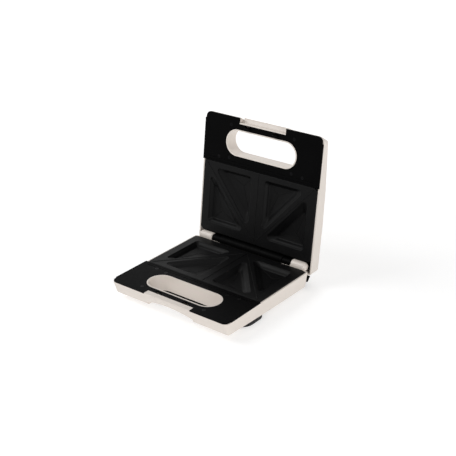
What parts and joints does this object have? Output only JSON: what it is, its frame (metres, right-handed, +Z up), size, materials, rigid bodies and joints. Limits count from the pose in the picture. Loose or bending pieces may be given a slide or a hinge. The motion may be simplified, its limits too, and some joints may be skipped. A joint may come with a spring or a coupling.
{
  "type": "sandwich toaster",
  "caption": "Countertop sandwich toaster: cream shells with black decks and pocketed non-stick plates, a carry-handle hole through each half, a rear hinge and a sprung front latch.",
  "frame": {"origin": "on the surface the toaster stands on, below the middle of its outline with the lid open", "axes": "+X to the object's right seen from the front, +Y towards the hinge and back, +Z up"},
  "size_m": [0.228, 0.2576, 0.2418],
  "materials": {
    "cream_shell": "smooth warm cream moulding with a soft gloss",
    "cream_latch": "smooth warm cream moulding with a soft gloss",
    "black_deck": "fine satin black moulding",
    "coated_plate": "cast aluminium with a black non-stick coating",
    "heater_steel": "dull heat-toned steel sheath",
    "zinc_steel": "zinc-plated steel",
    "blackened_screw": "black oxide screw",
    "white_block": "off-white moulded block",
    "lead_sleeve": "heat-proof woven sleeve",
    "rubber_feet": "black rubber",
    "lamp_glass": "small neon lamp",
    "red_lens": "tinted clear lens"
  },
  "bodies": {
    "base": {"base_shell": "cream_shell", "base_deck": "black_deck", "base_deck_screws": "blackened_screw", "base_plate": "coated_plate", "base_heater": "heater_steel", "base_heater_clips": "zinc_steel", "base_heat_shield": "zinc_steel", "base_shield_screws": "zinc_steel", "base_thermostat": "zinc_steel", "thermal_fuse": "zinc_steel", "terminal_block": "white_block", "base_wiring": "lead_sleeve", "cord_gland": "rubber_feet", "cord_cleats": "black_deck", "front_feet": "rubber_feet", "rear_feet": "rubber_feet", "hinge_pins": "zinc_steel", "hinge_cover": "black_deck", "hinge_cover_screws": "zinc_steel"},
    "lid": {"lid_shell": "cream_shell", "lid_deck": "black_deck", "lid_deck_screws": "blackened_screw", "lid_plate": "coated_plate", "lid_heater": "heater_steel", "lid_heater_clips": "zinc_steel", "lid_heat_shield": "zinc_steel", "lid_shield_screws": "zinc_steel", "lid_hinge_bracket": "black_deck", "lid_bracket_screws": "zinc_steel", "power_lamp": "lamp_glass", "ready_lamp": "lamp_glass", "lamp_lenses": "red_lens", "lamp_holder": "black_deck", "lid_wiring": "lead_sleeve", "latch_pin": "zinc_steel"},
    "latch": {"latch": "cream_latch", "latch_hooks": "black_deck", "latch_springs": "zinc_steel"}
  },
  "joints": [
    {"name": "lid_hinge", "type": "hinge", "parent": "base", "child": "lid", "pos_m": [0, 0.08067, 0.0345], "axis": [1, 0, 0], "range_deg": [0, 98]},
    {"name": "latch_pivot", "type": "hinge", "parent": "lid", "child": "latch", "pos_m": [0, 0.11962, 0.22544], "axis": [-1, 0, 0], "range_deg": [0, 7], "stiffness_Nm_per_rad": 0.02, "springref_deg": -8.59}
  ]
}
